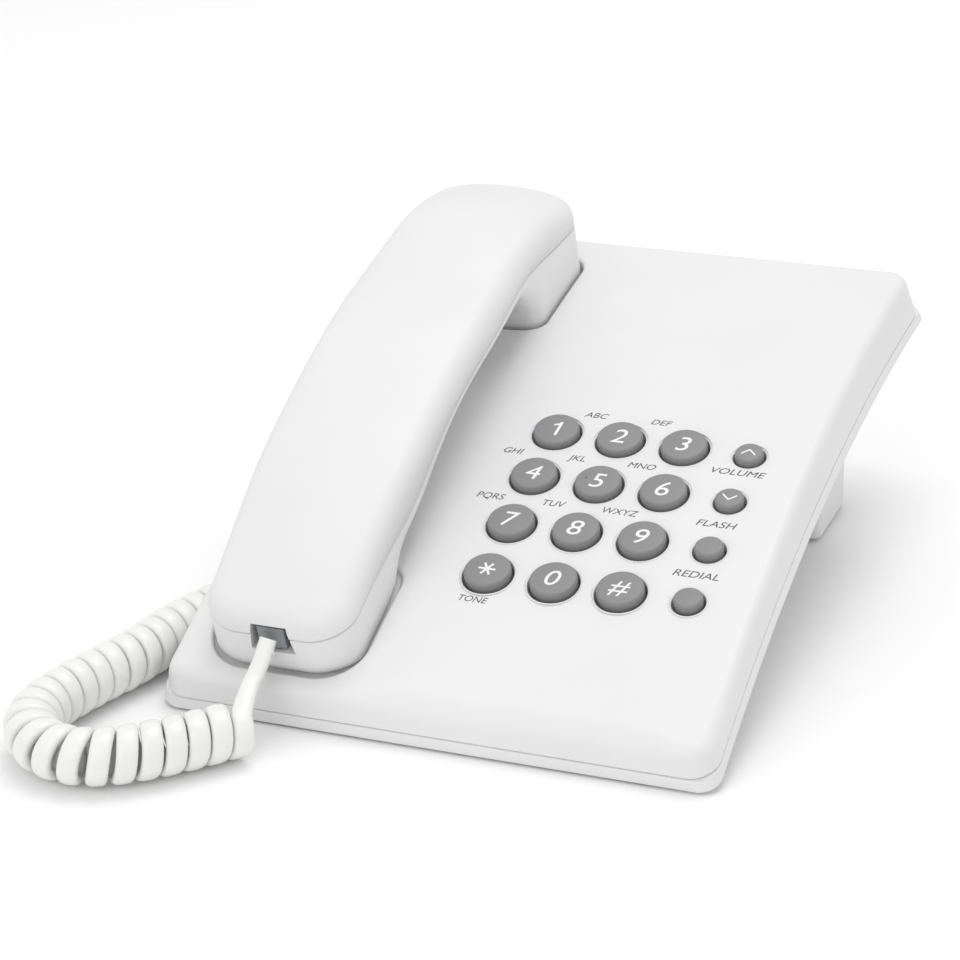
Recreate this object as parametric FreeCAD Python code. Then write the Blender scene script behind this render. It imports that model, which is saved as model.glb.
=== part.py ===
import FreeCAD, Part
import math
import os

from FreeCAD import Placement, Rotation, Vector

# Corded desk telephone, in millimetres.  Every piece is first drawn in the base's own
# frame: x to the right, y from the front edge to the back edge, z square to the chord of
# the arched top, with z = 0 on the line of the front top edge.  place() then tips that
# frame back onto the desk: +X right, +Y back, +Z up, z = 0 on the desk.

# ---- driving dimensions ----
BASE_W = 150.0            # across the top face
BASE_L = 208.0            # front top edge to back top edge
ARCH = 8.2                # rise of the top face over its chord
FRONT_T = 10.3            # thickness at the front edge
BACK_T = 16.4             # thickness at the back edge
STRIP = 3.0               # height of the lower casing's visible rim
WALL = 2.2
DRAFT = math.tan(math.radians(12.0))
CORNER_R = 6.0
TILT = 16.0               # degrees that the base leans back
DESK_GAP = 1.6            # front bottom edge above the desk
ORIGIN_Y = 104.1          # the frame's origin behind the front edge

KEY_X, KEY_Y = 0.5, 105.5            # centre of key 1
KEY_PITCH_X, KEY_PITCH_Y = 18.5, 19.2
SIDE_KEY_X = 56.0
KEY_R, SIDE_KEY_R = 7.1, 5.0
KEY_GAP = 0.5
KEY_RISE = 2.7

HS_X = -44.5                         # centre line of the handset
HS_FRONT, HS_BACK = 6.5, 197.0
HS_HALF_FRONT, HS_HALF_BACK = 21.0, 23.0
HS_WALL = 2.0
HS_ROUND = 6.0                       # long top edges
EAR_FLOOR = -2.0                     # floor of the ear well
EAR_FRONT = 153.0                    # its front wall
MOUTH_DEPTH = 3.0                    # depth of the mouth recess under the arch
REST_GAP = 0.3                       # handset to the cradle's floors
CRADLE_GAP = 0.9                     # handset to the cradle's walls
EAR_Y, MIC_Y = 175.0, 26.5           # centres of receiver and microphone
PLUNGER_Y = 182.0
PLUNGER_TRAVEL = 4.0

STAND_HALF = 62.0
STAND_FRONT, STAND_BACK = 151.0, 181.0   # along the desk from the front edge
FOOT_T = 1.2

JACK_X, JACK_Y = -13.2, 141.5        # handset cord's inlet, in the underside
PLUG_X, PLUG_Z = -44.2, 11.0         # the cord's plug in the mouth end
PLUG_HALF = (3.8, 3.2)

LEAD_D = 4.4                         # straight ends of the cord
COIL_D = 16.0                        # over the coiled part
HANDSET_LEAD = [(-44.2, -101.9, 24.6), (-45.0, -105.0, 19.0), (-46.0, -110.5, 15.5),
                (-45.3, -118.6, 13.0)]
COIL_ROUTE = [(-44.5, -120.5, 8.1), (-56.5, -134.5, 8.1), (-71.5, -146.5, 8.1), (-84.5, -147.2, 8.1),
              (-94.6, -140.6, 8.1), (-99.0, -128.5, 8.1), (-94.8, -110.5, 8.1), (-88.3, -93.0, 8.1),
              (-85.8, -76.0, 8.1), (-79.5, -58.0, 8.1), (-67.0, -42.0, 8.1), (-50.0, -30.0, 8.1),
              (-33.0, -21.0, 8.1), (-17.0, -11.0, 8.1)]
BASE_LEAD = [(-17.0, -11.0, 8.1), (-15.0, 0.0, 7.6), (-13.6, 11.9, 7.4), (-13.2, 25.6, 10.3),
             (-13.2, 34.8, 18.0), (-13.2, 38.2, 28.5), (-13.2, 35.4, 38.1)]

# ---- shared geometry ----
ARCH_R = (BASE_L ** 2 / 4 + ARCH ** 2) / (2 * ARCH)
COS_T, SIN_T = math.cos(math.radians(TILT)), math.sin(math.radians(TILT))
RISE = DESK_GAP + FRONT_T * COS_T
TO_DESK = Placement(Vector(0, -ORIGIN_Y, RISE), Rotation(Vector(1, 0, 0), TILT))
nodes = {}


def arch_z(y):
    """Height of the top face over its chord."""
    return math.sqrt(ARCH_R ** 2 - (y - BASE_L / 2) ** 2) - (ARCH_R - ARCH)


def thickness(y):
    return FRONT_T + (BACK_T - FRONT_T) * y / BASE_L


def floor_z(y):
    """Height of the lower casing's inner floor."""
    return arch_z(y) - thickness(y) + WALL


def box(x0, x1, y0, y1, z0, z1):
    return Part.makeBox(x1 - x0, y1 - y0, z1 - z0, Vector(x0, y0, z0))


def peg(x, y, z0, z1, r):
    return Part.makeCylinder(r, z1 - z0, Vector(x, y, z0))


def fuse(shapes):
    return shapes[0].multiFuse(shapes[1:]).removeSplitter()


def under_arch(drop_front, drop_back):
    """All space below an arch that runs drop_front to drop_back under the top face."""
    lean = math.atan2(drop_back - drop_front, BASE_L)
    sink = ARCH_R - ARCH
    mid_y, mid_z = BASE_L / 2, -(drop_front + drop_back) / 2
    centre = Vector(-120, mid_y - sink * math.sin(lean), mid_z - sink * math.cos(lean))
    return Part.makeCylinder(ARCH_R, 240, centre, Vector(1, 0, 0))


def drafted_prism(inset, low, high):
    """Space inside the base's four leaning walls, between two heights."""
    below, above = -low * DRAFT - inset, -high * DRAFT - inset
    half_low, half_high = BASE_W / 2 + below, BASE_W / 2 + above
    block = Part.makeWedge(-half_low, low, -BASE_L - below, -BASE_L - above, -half_high,
                           half_low, high, below, above, half_high)
    block.rotate(Vector(), Vector(1, 0, 0), 90)
    corners = [e for e in block.Edges if e.BoundBox.ZLength > high - low - 1]
    return block.makeFillet(max(CORNER_R - inset, 1.0), corners)


def side_prism(edges, x0, x1):
    """A closed outline of edges in the y-z plane, drawn out from x0 to x1."""
    face = Part.Face(Part.Wire(edges))
    face.translate(Vector(x0, 0, 0))
    return face.extrude(Vector(x1 - x0, 0, 0))


def yz(points):
    return [Vector(0, y, z) for y, z in points]


def polyline(points):
    ends = yz(points)
    return [Part.makeLine(a, b) for a, b in zip(ends, ends[1:])]


def spline(points):
    curve = Part.BSplineCurve()
    curve.interpolate(yz(points))
    return curve.toShape()


# ---- casings ----
CASING_SCREWS = [(-71, 20), (66, 20), (-71, 120), (67, 146), (-8, 196), (66, 196)]
PARTING = (FRONT_T - STRIP, BACK_T - STRIP)
FLOOR = (FRONT_T - WALL, BACK_T - WALL)


def base_block():
    block = drafted_prism(0, -45, 25).common(under_arch(0, 0))
    return block.cut(under_arch(FRONT_T, BACK_T))


def lip_cut():
    """What is taken off the front edge to leave its big soft radius."""
    r = 9.0
    wedge = box(-100, 100, -12, r - 1.0, -r + arch_z(r), 12)
    roll = Part.makeCylinder(r, 200, Vector(-100, r - 1.6, arch_z(r) - r), Vector(1, 0, 0))
    return wedge.cut(roll)


def ear_well(grow):
    zone = box(-90, 0, EAR_FRONT - grow, 200 + grow, EAR_FLOOR - grow, 40)
    return handset_plan(-6, 60, CRADLE_GAP + grow).common(zone)


def mouth_recess(grow):
    drop = MOUTH_DEPTH + grow
    zone = handset_plan(-6, 60, CRADLE_GAP + grow).common(box(-90, 0, 0, 62 + grow, -10, 40))
    return zone.cut(under_arch(drop, drop))


def finger_hollow(grow):
    """Shallow trough below the handle, where fingers go round it."""
    r, depth, y = 60.0, 3.5, 138.0
    trough = Part.makeCylinder(r + grow, 60, Vector(-76, y, arch_z(y) + r - depth), Vector(1, 0, 0))
    return trough.common(box(-68.0 - grow, -21.0 + grow, 100, 155, 0, 40))


def key_places():
    """Name, x, y and radius of each key cap."""
    names = ["key_1", "key_2", "key_3", "key_4", "key_5", "key_6",
             "key_7", "key_8", "key_9", "key_star", "key_0", "key_hash"]
    places = []
    for i, name in enumerate(names):
        x, y = KEY_X + KEY_PITCH_X * (i % 3), KEY_Y - KEY_PITCH_Y * (i // 3)
        places.append((name, x, y, KEY_R))
    for i, name in enumerate(["volume_up_key", "volume_down_key", "flash_key", "redial_key"]):
        places.append((name, SIDE_KEY_X, KEY_Y - KEY_PITCH_Y * i, SIDE_KEY_R))
    return places


KEYPAD_Y = KEY_Y - 1.5 * KEY_PITCH_Y
KEYPAD_LEAN = math.degrees(math.asin((BASE_L / 2 - KEYPAD_Y) / ARCH_R))
TO_KEYPAD = Placement(Vector(0, KEYPAD_Y, arch_z(KEYPAD_Y)), Rotation(Vector(1, 0, 0), KEYPAD_LEAN))


def on_keypad(shape):
    """From the keypad's own level, y from its middle row line, to the base's frame."""
    moved = shape.copy()
    moved.Placement = TO_KEYPAD.multiply(moved.Placement)
    return moved


def keypad_drop(y):
    return (y - KEYPAD_Y) ** 2 / (2 * ARCH_R)


def upper_casing():
    shell = base_block().cut(under_arch(*PARTING)).cut(lip_cut())
    cavity = drafted_prism(WALL, -45, 25).common(under_arch(WALL, WALL))
    for pocket in (ear_well(WALL), mouth_recess(WALL), finger_hollow(WALL)):
        cavity = cavity.cut(pocket)
    shell = shell.cut(cavity)
    bosses = [peg(x, y, -20, arch_z(y) - 1.0, 3.0) for x, y in CASING_SCREWS]
    inside = drafted_prism(0.5, -45, 25).common(under_arch(1.0, 1.0)).cut(under_arch(*PARTING))
    shell = fuse([shell] + [boss.common(inside) for boss in bosses])
    for pocket in (ear_well(0), mouth_recess(0), finger_hollow(0)):
        shell = shell.cut(pocket)
    rings, holes = [], []
    for _, x, y, r in key_places():
        drop = keypad_drop(y)
        rings.append(on_keypad(peg(x, y - KEYPAD_Y, -drop - 1.0, -drop + 0.4, r + KEY_GAP + 1.2)))
        holes.append(on_keypad(peg(x, y - KEYPAD_Y, -8, 6, r + KEY_GAP)))
    shell = fuse([shell] + rings)
    holes += [peg(x, y, -20, arch_z(y) - 3.0, 1.1) for x, y in CASING_SCREWS]
    holes.append(box(HS_X - 4.1, HS_X + 4.1, PLUNGER_Y - 2.1, PLUNGER_Y + 2.1, -8, 0))
    holes.append(line_opening(190, 230))
    holes += [selector_slot(x) for x in (0.0, 18.0)]
    holes.append(box(HS_X - 4.1, HS_X + 4.1, EAR_FRONT - 1.3, EAR_FRONT + 1, -1.5, 12))
    return shell.cut(Part.makeCompound(holes))


def lower_casing():
    rim = base_block().common(under_arch(*PARTING))
    tray = drafted_prism(WALL, -45, 25).cut(under_arch(*FLOOR))
    parts = [rim.cut(tray)]
    for x, y in CASING_SCREWS:
        top = arch_z(y) - thickness(y) + STRIP - 0.3
        parts.append(peg(x, y, top - STRIP, top, 4.2))
    parts += [on_keypad(peg(x, y, -14, BOARD_TOP - BOARD_T, 2.6)) for x, y in BOARD_SCREWS]
    space = drafted_prism(0.5, -45, 25).cut(under_arch(FRONT_T, BACK_T))
    shell = fuse([parts[0]] + [post.common(space) for post in parts[1:]])
    holes = []
    for x, y in CASING_SCREWS:
        low = arch_z(y) - thickness(y)
        holes.append(peg(x, y, low - 2, low + 5, 1.7))
        holes.append(peg(x, y, low - 2, low + 1.6, 3.0))
    holes += [on_keypad(peg(x, y, -9.6, -7, 1.1)) for x, y in BOARD_SCREWS]
    holes += [jack_opening(), line_opening(190, 230)]
    return shell.cut(Part.makeCompound(holes))


def casing_screws():
    screws = []
    for x, y in CASING_SCREWS:
        low = arch_z(y) - thickness(y)
        screws.append(fuse([peg(x, y, low + 0.4, low + 1.6, 2.6), peg(x, y, low + 1.6, low + 7.6, 1.3)]))
    return Part.makeCompound(screws)


# ---- keys and electronics ----
BOARD_TOP = -6.6
BOARD_T = 1.4
BOARD = (-11.0, 64.0, -46.0, 58.0)      # x and y on the keypad's level
BOARD_SCREWS = [(-7, -42), (60, -42), (-7, 54), (60, 54)]


def key(x, y, r):
    """Round cap with a softened rim and a wider flange that stops under the casing."""
    drop = keypad_drop(y)
    cap = Part.makeCylinder(r, KEY_RISE + 3.2, Vector(0, 0, -3.2))
    rim = [e for e in cap.Edges if e.BoundBox.ZMin > KEY_RISE - 0.01]
    cap = cap.makeFillet(1.1, rim)
    flange = Part.makeCylinder(r + 1.3, 0.8, Vector(0, 0, -3.6))
    whole = fuse([cap, flange])
    whole.translate(Vector(x, y - KEYPAD_Y, -drop))
    return on_keypad(whole)


def keypad_membrane():
    sheet = box(-10, 65, -38, 38, BOARD_TOP, BOARD_TOP + 0.6)
    domes = [Part.makeCone(r - 1.0, r - 2.5, 0.3, Vector(x, y - KEYPAD_Y, BOARD_TOP + 0.4))
             for _, x, y, r in key_places()]
    return on_keypad(fuse([sheet] + domes))


def circuit_board():
    x0, x1, y0, y1 = BOARD
    board = box(x0, x1, y0, y1, BOARD_TOP - BOARD_T, BOARD_TOP)
    holes = [peg(x, y, -20, 0, 1.4) for x, y in BOARD_SCREWS]
    return on_keypad(board.cut(Part.makeCompound(holes)))


def board_screws():
    screws = []
    for x, y in BOARD_SCREWS:
        head = peg(x, y, BOARD_TOP, BOARD_TOP + 1.0, 2.2)
        screws.append(fuse([head, peg(x, y, BOARD_TOP - 2.4, BOARD_TOP, 1.25)]))
    return on_keypad(Part.makeCompound(screws))


def board_parts():
    """Chips lie under the board, capacitors stand behind the keys."""
    low = BOARD_TOP - BOARD_T
    pieces = [box(8, 26, -8, 2, low - 1.8, low), box(36, 48, 6, 18, low - 1.8, low)]
    pieces += [peg(x, 46, BOARD_TOP, BOARD_TOP + 2.2, 3.0) for x in (6, 16, 26)]
    pieces += [box(x, x + 5, 43, 51, BOARD_TOP, BOARD_TOP + 1.8) for x in (34, 43)]
    return on_keypad(Part.makeCompound(pieces))


# ---- sockets and switches in the base ----
LINE_X, LINE_Z = 40.0, -8.3
SWITCH_Z = -5.5


def jack_opening():
    return box(JACK_X - 5.3, JACK_X + 5.3, JACK_Y - 4.6, JACK_Y + 4.6, -14, 6)


def line_opening(y0, y1):
    return box(LINE_X - 6.6, LINE_X + 6.6, y0, y1, LINE_Z - 5.0, LINE_Z + 5.0)


def base_handset_jack():
    """Socket that faces down out of the lower casing."""
    low = arch_z(JACK_Y) - thickness(JACK_Y)
    body = box(JACK_X - 5.2, JACK_X + 5.2, JACK_Y - 4.5, JACK_Y + 4.5, low, low + 10.4)
    half_x, half_y = PLUG_HALF
    return body.cut(box(JACK_X - half_x - 0.1, JACK_X + half_x + 0.1,
                        JACK_Y - half_y - 0.1, JACK_Y + half_y + 0.1, low - 1, low + 9.5))


def line_jack():
    back = BASE_L + 0.9
    body = box(LINE_X - 6.5, LINE_X + 6.5, back - 15, back, LINE_Z - 4.9, LINE_Z + 4.9)
    socket = box(LINE_X - 4.9, LINE_X + 4.9, back - 11, back + 1, LINE_Z - 3.4, LINE_Z + 3.4)
    contacts = []
    for x in (-1.5, -0.5, 0.5, 1.5):
        contacts.append(box(LINE_X + x - 0.2, LINE_X + x + 0.2, back - 10.5, back - 5.5,
                            LINE_Z + 2.6, LINE_Z + 3.5))
    return fuse([body.cut(socket)] + contacts)


def selector_slot(x):
    return box(x - 4.5, x + 4.5, 200, 220, SWITCH_Z - 1.5, SWITCH_Z + 1.5)


def selector_switch(x):
    """Fixed body of a slide switch behind the back wall."""
    body = box(x - 6, x + 6, BASE_L - 7.5, BASE_L - 2.0, SWITCH_Z - 2.8, SWITCH_Z + 2.8)
    return body.cut(box(x - 4.4, x + 4.4, BASE_L - 5.5, BASE_L, SWITCH_Z - 1.5, SWITCH_Z + 1.5))


def selector_knob(x):
    return box(x - 2.2, x + 2.2, BASE_L - 4.5, BASE_L + 2.4, SWITCH_Z - 1.2, SWITCH_Z + 1.2)


def on_floor(shape, x, y):
    """From the lower casing's inner floor, level at one place, to the base's frame."""
    lean = math.degrees(math.asin((BASE_L / 2 - y) / ARCH_R) - math.atan2(BACK_T - FRONT_T, BASE_L))
    seat = Placement(Vector(x, y, floor_z(y)), Rotation(Vector(1, 0, 0), lean))
    moved = shape.copy()
    moved.Placement = seat.multiply(moved.Placement)
    return moved


def ringer_sounder():
    """Piezo disc in a shallow cup."""
    cup = peg(0, 0, 0.3, 3.6, 14).cut(peg(0, 0, 1.4, 4, 12.6))
    return on_floor(fuse([cup, peg(0, 0, 1.2, 2.0, 12.7)]), 40, 166)


def ballast_plate():
    return on_floor(box(-16, 16, -13, 13, 0.3, 2.8), 5, 168)


# ---- hook ----
FLANGE_Z = EAR_FLOOR - WALL - PLUNGER_TRAVEL - 0.1
ARM_END = -10.0


def hook_plunger():
    """Tab through the ear well's floor, with an arm that the spring lifts."""
    tab = box(HS_X - 4, HS_X + 4, PLUNGER_Y - 2, PLUNGER_Y + 2, FLANGE_Z - 1, EAR_FLOOR)
    arm = box(HS_X - 6, ARM_END, PLUNGER_Y - 3.5, PLUNGER_Y + 3.5, FLANGE_Z - 1, FLANGE_Z)
    riser = box(-17.8, -16.6, PLUNGER_Y - 3.5, PLUNGER_Y + 3.5, FLANGE_Z - 1, FLANGE_Z + 3)
    pad = box(-17.8, ARM_END, PLUNGER_Y - 3.5, PLUNGER_Y + 3.5, FLANGE_Z + 2, FLANGE_Z + 3)
    low = box(-16.6, ARM_END, PLUNGER_Y - 4, PLUNGER_Y + 4, FLANGE_Z - 1.5, FLANGE_Z)
    return fuse([tab, arm, riser, pad]).cut(low)


def hook_spring():
    """Two turns of wire, in short straight runs."""
    height, r, wire, steps = 2.2, 2.0, 0.25, 24
    low = FLANGE_Z + 1.7 - height
    turns = [4 * math.pi * i / steps for i in range(steps + 1)]
    points = [Vector(-13.6 + r * math.cos(t), PLUNGER_Y + r * math.sin(t), low + height * i / steps)
              for i, t in enumerate(turns)]
    runs = [Part.makeCylinder(wire, a.distanceToPoint(b), a, b - a) for a, b in zip(points, points[1:])]
    return fuse(runs + [Part.makeSphere(wire, point) for point in points[1:-1]])


def hook_switch():
    z = floor_z(PLUNGER_Y + 4) + 0.1
    body = box(-32, -22, PLUNGER_Y + 4.5, PLUNGER_Y + 11, z, z + 4.2)
    return fuse([body, box(-28, -26, PLUNGER_Y + 6, PLUNGER_Y + 8, z + 4.2, z + 4.9)])


def handset_hook_tab():
    """Slip-in tab that holds the handset when the set hangs on a wall."""
    return box(HS_X - 4, HS_X + 4, EAR_FRONT - 1.2, EAR_FRONT, -1.4, 5.0)


# ---- handset ----
def handset_plan(low, high, grow):
    """Upright prism of the handset's plan, all sides moved out by grow."""
    corners = [(-HS_HALF_FRONT, HS_FRONT), (HS_HALF_FRONT, HS_FRONT),
               (HS_HALF_BACK, HS_BACK), (-HS_HALF_BACK, HS_BACK)]
    points = [Vector(HS_X + x, y, low) for x, y in corners]
    block = Part.Face(Part.makePolygon(points + points[:1])).extrude(Vector(0, 0, high - low))
    for at_back, r in ((False, 12.0), (True, 9.0)):
        edges = [e for e in block.Edges
                 if e.BoundBox.XLength < 0.01 and e.BoundBox.YLength < 0.01
                 and (e.BoundBox.YMin > 100) == at_back]
        block = block.makeFillet(r, edges)
    if not grow:
        return block
    outline = min(block.Faces, key=lambda f: f.CenterOfMass.z).OuterWire
    return Part.Face(outline.makeOffset2D(grow)).extrude(Vector(0, 0, high - low))


CROWN = [(6.5, 11.5), (13.0, 20.0), (35.0, 27.0), (62.0, 33.0), (90.0, 36.8), (120.0, 38.0),
         (150.0, 35.5), (178.0, 30.0), (193.0, 24.5), (197.0, 18.0)]
UNDERSIDE = [(153.5, 12.0), (148.0, 21.0), (137.0, 26.4), (119.0, 27.3), (100.0, 27.4),
             (84.0, 27.0), (70.0, 24.2), (56.0, 16.5), (47.0, 6.0)]
SEAM = [(0.0, 10.8), (20.0, 13.2), (40.0, 16.0), (56.0, 21.0), (70.0, 26.8), (84.0, 29.4), (100.0, 29.8),
        (118.0, 29.8), (134.0, 29.4), (152.0, 28.0), (172.0, 23.5), (205.0, 15.0)]


def shifted(points, inset):
    """Points moved inset to the right of their line, which is into the handset."""
    moved = []
    for i, (y, z) in enumerate(points):
        before, after = points[max(i - 1, 0)], points[min(i + 1, len(points) - 1)]
        dy, dz = after[0] - before[0], after[1] - before[1]
        step = inset / math.hypot(dy, dz)
        moved.append((y + dz * step, z - dy * step))
    return moved


def handset_outline(inset):
    """Side view of the handset: crown, back, ear pad, handle, mouth pad, front."""
    ear = EAR_FLOOR + REST_GAP + inset
    lift = REST_GAP - MOUTH_DEPTH + inset
    crown, under = shifted(CROWN, inset), shifted(UNDERSIDE, inset)
    edges = [spline(crown), spline(under)]
    edges += polyline([crown[-1], (194.5 - inset, ear), (155.5 + inset, ear), under[0]])
    edges += polyline([under[-1], (46.0 - inset, arch_z(46.0) + lift), (9.5 + inset, arch_z(9.5) + lift),
                       (6.5 + inset, 6.0), crown[0]])
    return Part.__sortEdges__(edges)


def handset_block(inset):
    """Outer form of the whole handset, or its hollow when inset."""
    block = side_prism(handset_outline(inset), -80, -10).common(handset_plan(-6, 60, -inset))
    crown = [e for e in block.Edges if e.BoundBox.YLength > 150 and e.BoundBox.ZMax > 34]
    return block.makeFillet(HS_ROUND - inset, crown)


def below_seam():
    edges = [spline(SEAM)] + polyline([SEAM[-1], (205.0, -20.0), (0.0, -20.0), SEAM[0]])
    return side_prism(edges, -80, -10)


def ear_holes():
    """Sound holes of the ear piece: a centre hole and two rings."""
    holes = [(0, 0)]
    for count, r in ((6, 5.0), (12, 10.0)):
        turns = [2 * math.pi * i / count for i in range(count)]
        holes += [(r * math.cos(turn), r * math.sin(turn)) for turn in turns]
    return Part.makeCompound([peg(HS_X + x, EAR_Y + y, EAR_FLOOR - 2, EAR_FLOOR + 4, 1.1) for x, y in holes])


def mic_holes():
    return Part.makeCompound([peg(HS_X + x, MIC_Y, -4, 6, 0.9) for x in (-6, -2, 2, 6)])


def plug_bay(grow):
    """Recess in the mouth end's front face for the cord's plug."""
    half, up = 5.2 + grow, 4.1 + grow
    return box(PLUG_X - half, PLUG_X + half, 0, 18.7, PLUG_Z - up, PLUG_Z + up)


HS_SCREWS = [(36.0, 14.0), (154.0, 25.0)]     # y and height of each boss's top


def handset_back_cover():
    """Upper shell with two screw bosses."""
    shell = handset_block(0).cut(handset_block(HS_WALL)).cut(below_seam())
    inside = handset_block(0.5).cut(below_seam())
    bosses = [peg(HS_X, y, top, 60, 3.0).common(inside) for y, top in HS_SCREWS]
    holes = [peg(HS_X, y, 0, top + 6, 1.0) for y, top in HS_SCREWS]
    shell = fuse([shell, plug_bay(1.4).common(inside)] + bosses)
    return shell.cut(Part.makeCompound(holes + [plug_bay(0)]))


def handset_front_cover():
    """Lower shell: ear pad and mouth pad with sound holes, and the plug's recess."""
    shell = handset_block(0).cut(handset_block(HS_WALL)).common(below_seam())
    inside = handset_block(0.5).common(below_seam())
    posts = [peg(HS_X, y, -10, top, 3.0).common(inside) for y, top in HS_SCREWS]
    shell = fuse([shell, plug_bay(1.4).common(inside)] + posts).cut(plug_bay(0))
    holes = [peg(HS_X, y, -10, top + 2, 1.5) for y, top in HS_SCREWS]
    holes += [peg(HS_X, y, -10, top - 1.4, 2.6) for y, top in HS_SCREWS]
    return shell.cut(Part.makeCompound(holes + [ear_holes(), mic_holes()]))


def handset_screws():
    screws = []
    for y, top in HS_SCREWS:
        screws.append(fuse([peg(HS_X, y, top - 3, top - 1.4, 2.3), peg(HS_X, y, top - 1.4, top + 5, 1.2)]))
    return Part.makeCompound(screws)


def receiver_gasket():
    ring = peg(HS_X, EAR_Y, EAR_FLOOR + REST_GAP + HS_WALL, 3.3, 17.0)
    return ring.cut(peg(HS_X, EAR_Y, -5, 10, 14.0))


def receiver_capsule():
    body = peg(HS_X, EAR_Y, 3.3, 9.5, 16.6)
    magnet = peg(HS_X, EAR_Y, 9.5, 13.5, 9.0)
    return fuse([body, magnet])


def microphone_boot():
    cup = peg(HS_X, MIC_Y, 3.6, 8.8, 6.1)
    return cup.cut(peg(HS_X, MIC_Y, 4.1, 12.0, 4.9)).cut(peg(HS_X, MIC_Y, 2, 6, 2.0))


def microphone_capsule():
    return peg(HS_X, MIC_Y, 4.1, 8.6, 4.85)


def handset_ballast():
    """Steel bar that gives the handset its weight on the hook."""
    return box(HS_X, HS_X + 12, 86, 130, 29.5, 32.5)


def handset_cord_jack():
    y = 13.0
    half_x, half_z = PLUG_HALF
    body = box(PLUG_X - 5.1, PLUG_X + 5.1, y, y + 5.6, PLUG_Z - 4.0, PLUG_Z + 4.0)
    return body.cut(box(PLUG_X - half_x - 0.1, PLUG_X + half_x + 0.1, y - 1, y + 4.6,
                        PLUG_Z - half_z - 0.1, PLUG_Z + half_z + 0.1))


def handset_wiring():
    """Pair of wires from the cord's jack along the handle to the receiver."""
    route = [(19.0, 13.0), (46.0, 22.0), (70.0, 31.0), (139.0, 31.0), (154.0, 22.0), (167.0, 10.2)]
    wires = []
    for x in (-8.2, -6.6):
        points = [Vector(HS_X + x, y, z) for y, z in route]
        for a, b in zip(points, points[1:]):
            wires.append(Part.makeCylinder(0.6, a.distanceToPoint(b), a, b - a))
        wires += [Part.makeSphere(0.6, point) for point in points[1:-1]]
    return fuse(wires)


# ---- stand, feet ----
def lower_space():
    """Everything under the base, in the desk's frame."""
    return to_desk(box(-90, 90, -10, 225, -90, 30).common(under_arch(FRONT_T, BACK_T)))


def to_desk(shape):
    moved = shape.copy()
    moved.Placement = TO_DESK.multiply(moved.Placement)
    return moved


WALL_HOLES = 83.0                    # between the two keyholes
KEYHOLE_R, KEYHOLE_SLOT_R = 4.5, 2.25


def wall_bracket():
    """Open-backed stand under the rear, with two keyholes for a wall plate's studs."""
    y0, y1 = STAND_FRONT - ORIGIN_Y, STAND_BACK - ORIGIN_Y
    block = box(-STAND_HALF, STAND_HALF, y0, y1, FOOT_T, 80)
    uprights = [e for e in block.Edges if e.BoundBox.ZLength > 50]
    block = block.makeFillet(3.0, uprights)
    inside = box(-STAND_HALF + 2.5, STAND_HALF - 2.5, y0 + 2.5, y1 - 2.5, FOOT_T + 2.5, 90)
    ribs = [box(x - 1, x + 1, y0 + 1, y1 - 1, FOOT_T + 1, 80) for x in (-20.0, 20.0)]
    block = fuse([block.cut(inside)] + ribs)
    mid = (y0 + y1) / 2 - 2
    holes = []
    for x in (-WALL_HOLES / 2, WALL_HOLES / 2):
        holes.append(peg(x, mid, -1, 6, KEYHOLE_R))
        holes.append(box(x - KEYHOLE_SLOT_R, x + KEYHOLE_SLOT_R, mid, mid + 10, -1, 6))
    return block.cut(Part.makeCompound(holes)).common(lower_space())


def rubber_feet():
    front = [peg(x, 16 - ORIGIN_Y, 0, 20, 5.0) for x in (-62, 62)]
    feet = [foot.common(lower_space()) for foot in front]
    y = (STAND_FRONT + STAND_BACK) / 2 - ORIGIN_Y
    feet += [box(x - 6, x + 6, y - 12, y + 12, 0, FOOT_T) for x in (-54, 54)]
    return Part.makeCompound(feet)


# ---- cord ----
def tube(points, diameter, label):
    """Round tube on straight runs joined by tangent arcs, which it prints."""
    p = [Vector(*point) for point in points]
    edges, at, length = [], p[0], 0
    for before, corner, after in zip(p, p[1:], p[2:]):
        a, b = (before - corner), (after - corner)
        cut = 0.45 * min(a.Length, b.Length)
        half_turn = (math.pi - a.getAngle(b)) / 2
        a.normalize()
        b.normalize()
        start, end = corner + a * cut, corner + b * cut
        inward = (a + b).normalize()
        radius = cut / math.tan(half_turn)
        middle = corner + inward * (radius / math.cos(half_turn) - radius)
        edges.append(Part.makeLine(at, start))
        edges.append(Part.Arc(start, middle, end).toShape())
        print(f"{label}: arc radius {radius:.1f} mm")
        at = end
    edges.append(Part.makeLine(at, p[-1]))
    path = Part.Wire(edges)
    profile = Part.Wire([Part.Circle(p[0], p[1] - p[0], diameter / 2).toShape()])
    shape = path.makePipeShell([profile], True, True)
    share = shape.Volume / (math.pi * diameter ** 2 / 4 * path.Length)
    print(f"{label}: length {path.Length:.1f} mm, volume {share:.4f} of section x length")
    return shape


def handset_plug():
    half_x, half_z = PLUG_HALF
    body = box(PLUG_X - half_x, PLUG_X + half_x, 7.4, 17.2, PLUG_Z - half_z, PLUG_Z + half_z)
    latch = box(PLUG_X - 1.6, PLUG_X + 1.6, 7.4, 12.6, PLUG_Z - half_z - 0.8, PLUG_Z - half_z)
    return fuse([body, latch])


def base_plug():
    half_x, half_y = PLUG_HALF
    low = arch_z(JACK_Y) - thickness(JACK_Y)
    return box(JACK_X - half_x, JACK_X + half_x, JACK_Y - half_y, JACK_Y + half_y, low - 5, low + 8)


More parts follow.
